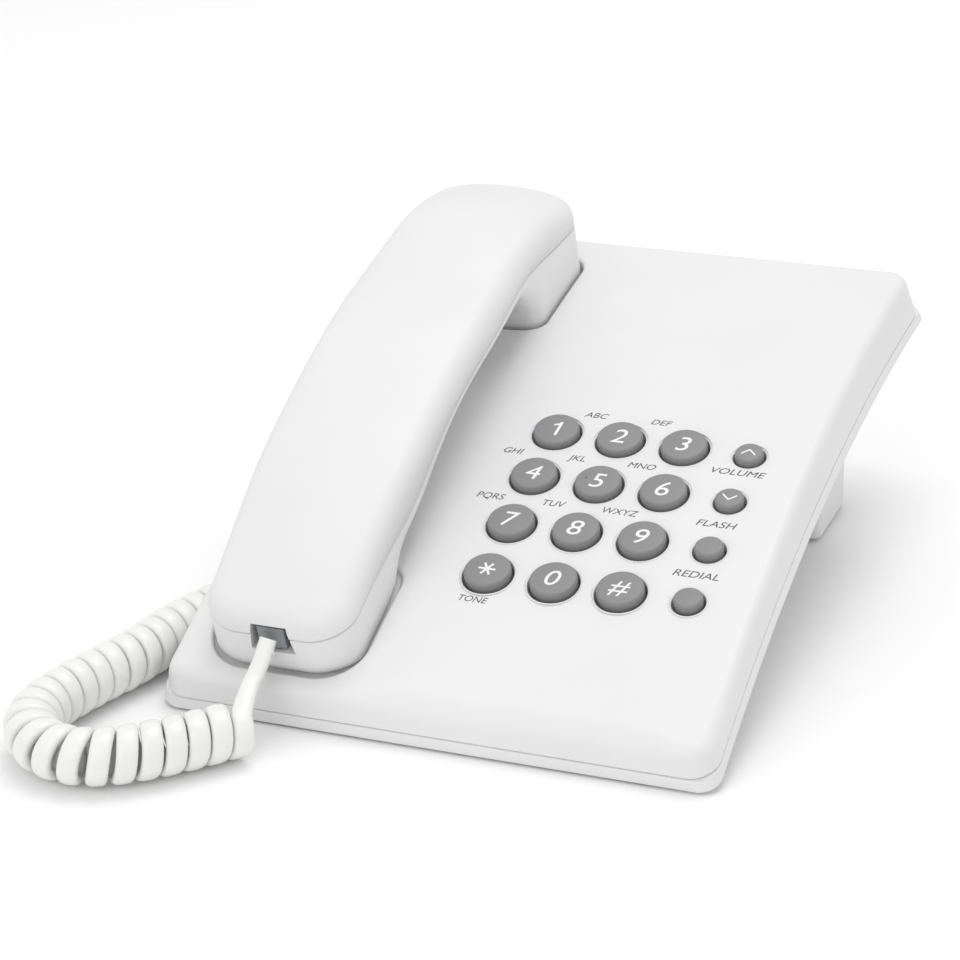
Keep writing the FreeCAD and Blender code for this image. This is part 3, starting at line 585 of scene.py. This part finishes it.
def underside(x, y):
    """Bottom of the front cover: mouth pad, handle and ear pad."""
    mouth = arch(np.minimum(y, MOUTH_BLOCK_BACK)) - MOUTH_PAD_DEPTH * (1 - ease((y - 30) / 12))
    inset = np.clip(EAR_BLOCK_CORNER - handset_half(y) + np.abs(x - HANDSET_X), 0, EAR_BLOCK_CORNER)
    y = y - (EAR_BLOCK_CORNER - np.sqrt(EAR_BLOCK_CORNER ** 2 - inset ** 2)) * ease((y - 132) / 10)
    rise = np.clip(y - MOUTH_BLOCK_BACK + 1, 0, 1)
    mouth += (under_line(MOUTH_BLOCK_BACK) - mouth) * rise
    height = np.where(y < MOUTH_BLOCK_BACK, mouth, under_line(y))
    ear_top = under_line(EAR_BLOCK_FRONT)
    fall = np.clip((y - EAR_BLOCK_FRONT) / 2, 0, 1)
    return np.where(y > EAR_BLOCK_FRONT, ear_top + (EAR_PAD - ear_top) * fall, height)


plan, plan_facing = rounded_outline(handset_corners(0), [12, 12, 9, 9], 1.2)
plan[:, 0] += plan_facing[:, 0] * 1.2 * ease((plan[:, 1] - 25) / 40) * ease((156 - plan[:, 1]) / 40)
plan_y = plan[:, 1]
round_size = SIDE_ROUND + (FRONT_ROUND - SIDE_ROUND) * ease((22 - plan_y) / 15)
round_size += 0.5 * ease((plan_y - 180) / 12)
back_cover = bmesh.new()
inner = plan - plan_facing * (round_size * (1 - math.cos(ROUND_ANGLE)))[:, None]
top = crown(*inner.T)
shoulder = np.maximum(top - round_size * math.sin(ROUND_ANGLE), seam_line(plan_y) + SEAM_GAP + 0.6)
last = seam_ring = ring(back_cover, plan - plan_facing * 0.3, seam_line(plan_y) + SEAM_GAP)
this = ring(back_cover, plan, seam_line(plan_y) + SEAM_GAP + 0.3)
join_rings(back_cover, last, this)
last = this
for angle in np.linspace(0, ROUND_ANGLE, 10):
    row = plan - plan_facing * (round_size * (1 - math.cos(angle)))[:, None]
    this = ring(back_cover, row, shoulder + (top - shoulder) * math.sin(angle) / math.sin(ROUND_ANGLE))
    join_rings(back_cover, last, this)
    last = this
fill_skin(back_cover, last, [], crown, 3.0)
fill_skin(back_cover, seam_ring, [], lambda x, y: seam_line(y) + SEAM_GAP, 4.0)
handset_back = finished_shell(back_cover, "handset_back_shell", white_abs, 50)

front_cover = bmesh.new()
foot_round = 1.2 + 3.3 * ease((16 - plan_y) / 9) + 0.6 * ease((plan_y - 160) / 10)
last = seam_ring = ring(front_cover, plan - plan_facing * 0.3, seam_line(plan_y) - SEAM_GAP)
this = ring(front_cover, plan, seam_line(plan_y) - SEAM_GAP - 0.3)
join_rings(front_cover, last, this)
last = this
for angle in np.linspace(0, math.pi / 2, 6):
    row = plan - plan_facing * (foot_round * (1 - math.cos(angle)))[:, None]
    this = ring(front_cover, row, underside(*row.T) + foot_round * (1 - math.sin(angle)))
    join_rings(front_cover, last, this)
    last = this
steep_rows = [*np.arange(38.6, 46, 0.5), *np.arange(150, 156.4, 0.5)]
steep = [(x, y) for x in np.arange(-66, -23, 2.0) for y in steep_rows]
fill_skin(front_cover, last, [], underside, 3.0, steep)
fill_skin(front_cover, seam_ring, [], lambda x, y: seam_line(y) - SEAM_GAP, 4.0)
handset_front = finished_shell(front_cover, "handset_front_shell", white_abs, 50)



def notch_cutter():
    """Socket for the cord's plug in the mouth end, wider below."""
    mouth = ((-49.4, 15.1), (-39.4, 15.1), (-37.6, 6.9), (-50.2, 6.9))
    return block_cutter([(x, y, z) for y in (0, 18.7) for x, z in mouth])


def repeated(name, points, sizes, material, one_shape):
    """Plain mesh of one shape set on every point, in millimetres of the base's frame."""
    tree = bpy.data.node_groups.new(name, "GeometryNodeTree")
    tree.interface.new_socket("Geometry", in_out="INPUT", socket_type="NodeSocketGeometry")
    sockets = {label: tree.interface.new_socket(label, in_out="INPUT", socket_type="NodeSocketFloat")
               for label in sizes}
    tree.interface.new_socket("Geometry", in_out="OUTPUT", socket_type="NodeSocketGeometry")
    nodes, links = tree.nodes, tree.links
    given, made = nodes.new("NodeGroupInput"), nodes.new("NodeGroupOutput")
    stamp, real = nodes.new("GeometryNodeInstanceOnPoints"), nodes.new("GeometryNodeRealizeInstances")
    paint = nodes.new("GeometryNodeSetMaterial")
    paint.inputs["Material"].default_value = material
    links.new(given.outputs["Geometry"], stamp.inputs["Points"])
    links.new(one_shape(nodes, links, given), stamp.inputs["Instance"])
    links.new(stamp.outputs["Instances"], real.inputs["Geometry"])
    links.new(real.outputs["Geometry"], paint.inputs["Geometry"])
    links.new(paint.outputs["Geometry"], made.inputs["Geometry"])
    data = bpy.data.meshes.new(name)
    data.from_pydata(points, [], [])
    holder = bpy.data.objects.new(name, data)
    bpy.context.scene.collection.objects.link(holder)
    modifier = holder.modifiers.new(name, "NODES")
    modifier.node_group = tree
    for label, size in sizes.items():
        modifier[sockets[label].identifier] = size
    result = bpy.data.meshes.new_from_object(holder.evaluated_get(bpy.context.evaluated_depsgraph_get()))
    bpy.data.objects.remove(holder)
    return result


def pin(nodes, links, given):
    """Round pin, used to pierce the sound holes."""
    peg = nodes.new("GeometryNodeMeshCylinder")
    peg.inputs["Vertices"].default_value = 20
    links.new(given.outputs["Pin Radius"], peg.inputs["Radius"])
    links.new(given.outputs["Pin Length"], peg.inputs["Depth"])
    return peg.outputs["Mesh"]


def pins(points, radius, length):
    """Cutter of one pin on every point."""
    sizes = {"Pin Radius": radius, "Pin Length": length}
    return cutter(repeated("sound_holes", points, sizes, white_abs, pin))


ear_ring = [(r * math.cos(2 * math.pi * i / n), r * math.sin(2 * math.pi * i / n))
            for n, r in ((6, 5.0), (12, 10.0)) for i in range(n)]
ear_points = [(HANDSET_X + x, EAR_CENTRE + y, EAR_PAD) for x, y in [(0, 0), *ear_ring]]
mouth_height = float(arch(MOUTH_CENTRE)) - MOUTH_PAD_DEPTH
mouth_points = [(HANDSET_X + x, MOUTH_CENTRE, mouth_height) for x in (-6, -2, 2, 6)]
cut_away(handset_front, [pins(ear_points, EAR_HOLE, HOLE_LENGTH), pins(mouth_points, MOUTH_HOLE, HOLE_LENGTH),
                         pins([(HANDSET_X, 36.0, 7.0)], SCREW_HOLE, 11.2)], 50)
for shell in (handset_back, handset_front):
    cut_away(shell, [notch_cutter()], 50)
    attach(shell, "handset")
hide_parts("handset_back_cover")
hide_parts("handset_front_cover")

# ---- keys ----
# Grey ABS caps with softly rounded rims, each in its own well over the rubber key mat.  Their
# figures are printed in white, and the middle key has a raised nib for the finger.
KEY_ROW_MIDDLE = KEY_START[1] - 1.5 * KEY_PITCH[1]
KEYPAD_LEAN = math.asin((BASE_LONG / 2 - KEY_ROW_MIDDLE) / ARCH_RADIUS)
CAP_TOP, CAP_BOTTOM, CAP_ROUND, CAP_SLACK = 2.0, -3.3, 0.75, 0.2
FLANGE_TOP, FLANGE_OUT = -2.8, 0.3
FIGURES = {"key_star": "*", "key_hash": "#"}
FIGURE_HEIGHT, PRINT_THICK, LETTER_EXTRUDE = 5.4, 0.03, 0.02
key_abs = moulded_plastic("key_abs", (0.235, 0.235, 0.24), 0.42, 1800.0, 0.00002)
key_ink = moulded_plastic("key_ink", (0.85, 0.85, 0.85), 0.5, 2500.0, 0.00001)


def on_keypad(x, y):
    """Place of a key's own frame, square to the keypad, on the table."""
    drop = (y - KEY_ROW_MIDDLE) ** 2 / (2 * ARCH_RADIUS)
    return (TO_DESK @ Matrix.Translation((0, KEY_ROW_MIDDLE, arch(KEY_ROW_MIDDLE)))
            @ Matrix.Rotation(KEYPAD_LEAN, 4, "X") @ Matrix.Translation((x, y - KEY_ROW_MIDDLE, -drop)))


def key_cap(radius):
    """Round cap on a thin flange, closed below."""
    cap = bmesh.new()
    angles = np.linspace(0, 2 * math.pi, 56, endpoint=False)
    circle = np.stack([np.cos(angles), np.sin(angles)], 1)
    flange = radius + FLANGE_OUT
    profile = [(flange, CAP_BOTTOM), (flange, FLANGE_TOP), (radius, FLANGE_TOP + 0.2)]
    radius -= CAP_SLACK
    profile += [(radius, FLANGE_TOP + 0.4)]
    profile += [(radius - CAP_ROUND * (1 - math.cos(a)), CAP_TOP - CAP_ROUND * (1 - math.sin(a)))
                for a in np.linspace(0, math.pi / 2, 8)]
    rows = [ring(cap, circle * r, z) for r, z in profile]
    for first, second in zip(rows, rows[1:]):
        join_rings(cap, first, second)
    cap.faces.new(rows[0])
    cap.faces.new(rows[-1])
    data = bpy.data.meshes.new("key_cap")
    cap.to_mesh(data)
    cap.free()
    return data


def lettering(text, slant):
    """Mesh of a text and its lowest and highest corners."""
    curve = bpy.data.curves.new("print", "FONT")
    curve.body, curve.shear, curve.extrude = text, slant, LETTER_EXTRUDE
    curve.resolution_u = 6
    holder = bpy.data.objects.new("print", curve)
    data = bpy.data.meshes.new_from_object(holder)
    bpy.data.objects.remove(holder)
    points = np.array([v.co for v in data.vertices])
    return data, points.min(0), points.max(0)


def printed(text, height, slant, stretch):
    """Thin raised print of a text, centred, in millimetres; height is that of its capitals."""
    data, low, high = lettering(text, slant)
    _, capital_low, capital_high = lettering("E", slant)
    scale = height / (capital_high[1] - capital_low[1])
    centre = (low + high) / 2
    centre[1] = (capital_low[1] + capital_high[1]) / 2
    size = Matrix.Diagonal((scale * stretch, scale, PRINT_THICK / (2 * LETTER_EXTRUDE), 1))
    data.transform(size @ Matrix.Translation(-Vector(centre)))
    return data


def flat_print(outline):
    """Thin raised print of one outline."""
    count = len(outline)
    points = [(x, y, z) for z in (-PRINT_THICK / 2, PRINT_THICK / 2) for x, y in outline]
    faces = [tuple(range(count))[::-1], tuple(range(count, 2 * count))]
    faces += [(i, (i + 1) % count, (i + 1) % count + count, i + count) for i in range(count)]
    data = bpy.data.meshes.new("print")
    data.from_pydata(points, [], faces)
    return data


def chevron(up):
    """Arrow head of two strokes."""
    tip, half, thick = 0.9 * up, 2.0, 0.31
    return flat_print([(-half, -tip - thick), (0, tip - thick), (half, -tip - thick), (half, -tip + thick),
                       (0, tip + thick), (-half, -tip + thick)])


def asterisk(reach, stroke, arms=6):
    """Star of straight arms."""
    outline = []
    for i in range(arms):
        turn = 2 * math.pi * i / arms
        for side in (-1, 1):
            outline.append((reach * math.cos(turn) - side * stroke / 2 * math.sin(turn),
                            reach * math.sin(turn) + side * stroke / 2 * math.cos(turn)))
        notch = turn + math.pi / arms
        reach_in = stroke / 2 / math.sin(math.pi / arms)
        outline.append((reach_in * math.cos(notch), reach_in * math.sin(notch)))
    return flat_print(outline)


FIGURE_ONE = [(0.1, -2.8), (0.9, -2.8), (1.3, 2.8), (0.65, 2.8), (0.2, 2.1), (-1.0, 1.7), (-1.05, 1.1),
              (0.4, 1.5)]
NIB_RADIUS, NIB_PLACE = 0.36, (-3.6, 0.6)


for name, (x, y, radius) in key_places.items():
    data = key_cap(radius)
    data.transform(on_keypad(x, y))
    cap = new_piece(name + "_cap", data, key_abs, 35)
    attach(cap, name)
    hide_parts(name)
    figure = FIGURES.get(name, name[4:] if name.startswith("key_") else "")
    if figure == "*":
        data = asterisk(2.4, 0.62)
    elif figure == "1":
        data = flat_print(FIGURE_ONE)
    elif figure:
        data = printed(figure, FIGURE_HEIGHT, slant=0.14, stretch=1.12)
    elif name.startswith("volume"):
        data = chevron(1 if "up" in name else -1)
    else:
        continue
    data.transform(on_keypad(x, y) @ Matrix.Translation((0, 0, CAP_TOP + PRINT_THICK / 2)))
    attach(new_piece(name + "_print", data, key_ink, 30), name)

nib = bmesh.new()
bmesh.ops.create_uvsphere(nib, u_segments=16, v_segments=8, radius=NIB_RADIUS)
data = bpy.data.meshes.new("nib")
nib.to_mesh(data)
nib.free()
x, y, _ = key_places["key_5"]
data.transform(on_keypad(x, y) @ Matrix.Translation((*NIB_PLACE, CAP_TOP)))
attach(new_piece("key_5_nib", data, key_abs), "key_5")

# ---- printed labels ----
# Grey letters above and beside the keys, pad-printed in one colour on the moulded deck and
# only a few hundredths of a millimetre thick.
LABELS = [("ABC", 8.9, 115.5, 2.2), ("DEF", 27.9, 115.7, 2.2), ("GHI", -9.0, 96.2, 2.2),
          ("JKL", 9.4, 96.3, 2.2), ("MNO", 28.2, 96.4, 2.2), ("PQRS", -8.9, 77.0, 2.2),
          ("TUV", 9.4, 77.1, 2.2), ("WXYZ", 28.2, 77.2, 2.2),
          ("TONE", -0.4, 38.6, 2.0), ("VOLUME", 54.9, 98.6, 2.3), ("FLASH", 55.0, 77.3, 2.3),
          ("REDIAL", 55.1, 57.9, 2.3)]
label_ink = moulded_plastic("label_ink", (0.10, 0.10, 0.105), 0.55, 2500.0, 0.00001)
for text, x, y, height in LABELS:
    data = printed(text, height, slant=0.25, stretch=1.16 if height > 2.2 else 1.03)
    lean = math.asin((BASE_LONG / 2 - y) / ARCH_RADIUS)
    place = TO_DESK @ Matrix.Translation((x, y, arch(y) + PRINT_THICK / 2))
    data.transform(place @ Matrix.Rotation(lean, 4, "X"))
    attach(new_piece("label_" + text.lower(), data, label_ink, 30), "base")

# ---- beads round the keys ----
# A low round bead on the deck round each key's well, moulded with the casing in its own white
# plastic; it stands about a tenth of a millimetre proud.
BEAD_OUT, BEAD_THICK, BEAD_SINK = 0.7, 0.46, 0.12


def bead(nodes, links, given):
    """Ring of a small round section."""
    circle, section = (nodes.new("GeometryNodeCurvePrimitiveCircle") for _ in range(2))
    circle.inputs["Resolution"].default_value, section.inputs["Resolution"].default_value = 56, 10
    links.new(given.outputs["Bead Radius"], circle.inputs["Radius"])
    links.new(given.outputs["Bead Thickness"], section.inputs["Radius"])
    sweep = nodes.new("GeometryNodeCurveToMesh")
    links.new(circle.outputs["Curve"], sweep.inputs["Curve"])
    links.new(section.outputs["Curve"], sweep.inputs["Profile Curve"])
    return sweep.outputs["Mesh"]


for label, key_radius in (("dial", KEY_RADIUS), ("side", SIDE_KEY_RADIUS)):
    points = [(x, y - KEY_ROW_MIDDLE, -(y - KEY_ROW_MIDDLE) ** 2 / (2 * ARCH_RADIUS) - BEAD_SINK)
              for x, y, radius in key_places.values() if radius == key_radius]
    data = repeated(label + "_beads", points, {"Bead Radius": key_radius + KEY_GAP + BEAD_OUT,
                                               "Bead Thickness": BEAD_THICK / 2}, white_abs, bead)
    data.transform(TO_DESK @ Matrix.Translation((0, KEY_ROW_MIDDLE, float(arch(KEY_ROW_MIDDLE))))
                   @ Matrix.Rotation(KEYPAD_LEAN, 4, "X"))
    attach(new_piece(label + "_beads", data, white_abs), "base")

# ---- stand and feet ----
# The stand is an open-topped white ABS box that clips under the rear and hangs the set on a
# wall plate; four pale rubber pads are glued under it and under the front.
stand_abs = moulded_plastic("stand_abs", (0.78, 0.78, 0.78), 0.5, 1600.0, 0.00003)
foot_rubber = moulded_plastic("foot_rubber", (0.5, 0.5, 0.5), 0.8, 2200.0, 0.00004, 0.1)


def softened(node, name, material, width):
    """Merged copy of a moulded part with its sharp edges rounded."""
    work = bmesh.new()
    work.from_mesh(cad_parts[node].data)
    bmesh.ops.remove_doubles(work, verts=work.verts, dist=1e-6)
    bmesh.ops.dissolve_limit(work, angle_limit=math.radians(1.0), verts=work.verts, edges=work.edges)
    data = bpy.data.meshes.new(name)
    work.to_mesh(data)
    work.free()
    piece = new_piece(name, data, material)
    bevel = piece.modifiers.new("soft edge", "BEVEL")
    bevel.width, bevel.segments, bevel.limit_method, bevel.angle_limit = width, 2, "ANGLE", math.radians(40)
    piece.data = bpy.data.meshes.new_from_object(piece.evaluated_get(bpy.context.evaluated_depsgraph_get()))
    piece.modifiers.clear()
    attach(piece, "base")
    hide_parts(node)
    return piece


softened("wall_bracket", "desk_stand", stand_abs, 0.0007)
softened("rubber_feet", "foot_pads", foot_rubber, 0.0004)


def finish_nodes(material, *names):
    """Gives a finish to parts whose solids are shown as they are."""
    for name in names:
        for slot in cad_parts[name].material_slots:
            slot.material = material


# ---- lower casing, hook parts and selectors ----
# A white ABS tray screwed under the upper casing, the sprung plunger that the handset holds
# down, the tab for wall use, and two small black sliders at the rear edge.
finish_nodes(stand_abs, "lower_casing", "handset_hook_tab", "hook_plunger")
slider_abs = moulded_plastic("slider_abs", (0.035, 0.035, 0.037), 0.45, 1800.0, 0.00003, 0.2)
finish_nodes(slider_abs, "ringer_selector", "dial_mode_selector", "ringer_switch", "dial_mode_switch",
             "hook_switch")

# ---- sockets and plugs of the cord ----
# Black nylon jacks behind the openings in the casings and the handset, and clear polycarbonate
# plugs crimped on the two ends of the cord.
jack_nylon = moulded_plastic("jack_nylon", (0.02, 0.02, 0.021), 0.55, 1500.0, 0.00003, 0.2)
finish_nodes(jack_nylon, "line_jack", "base_handset_jack", "handset_cord_jack")
clear_plug = moulded_plastic("clear_plug", (0.62, 0.64, 0.65), 0.12, 700.0, 0.00002, 0.15)
clear_plug.node_tree.nodes["Principled BSDF"].inputs["Transmission Weight"].default_value = 0.6
finish_nodes(clear_plug, "handset_plug", "base_plug")

# ---- screws, weights and spring ----
# Zinc-plated steel: self-tapping screws, two pressed plates that give the parts their weight,
# the microphone's can and the plunger's coil spring.
zinc_steel = moulded_plastic("zinc_steel", (0.60, 0.61, 0.62), 0.34, 3000.0, 0.00001, 0.12)
zinc_steel.node_tree.nodes["Principled BSDF"].inputs["Metallic"].default_value = 1.0
finish_nodes(zinc_steel, "casing_screws", "board_screws", "handset_screws", "base_ballast_plate",
             "hook_return_spring", "handset_ballast", "microphone_capsule")

# ---- sound parts, seals, board and wires ----
# A piezo disc in brass, black capsules in grey rubber seals, a green board with its parts
# under a rubber key mat, and a red insulated pair along the handle.
piezo_brass = moulded_plastic("piezo_brass", (0.62, 0.45, 0.18), 0.3, 2500.0, 0.00001, 0.15)
piezo_brass.node_tree.nodes["Principled BSDF"].inputs["Metallic"].default_value = 1.0
finish_nodes(piezo_brass, "ringer_sounder")
seal_rubber = moulded_plastic("seal_rubber", (0.10, 0.10, 0.105), 0.8, 2200.0, 0.00004, 0.15)
finish_nodes(seal_rubber, "receiver_gasket", "microphone_boot", "keypad_membrane")
finish_nodes(slider_abs, "receiver_capsule", "board_components")
board_mask = moulded_plastic("board_mask", (0.02, 0.14, 0.05), 0.25, 600.0, 0.00003, 0.35)
finish_nodes(board_mask, "main_circuit_board")
wire_pvc = moulded_plastic("wire_pvc", (0.42, 0.03, 0.02), 0.35, 1500.0, 0.00002, 0.1)
finish_nodes(wire_pvc, "handset_wiring")
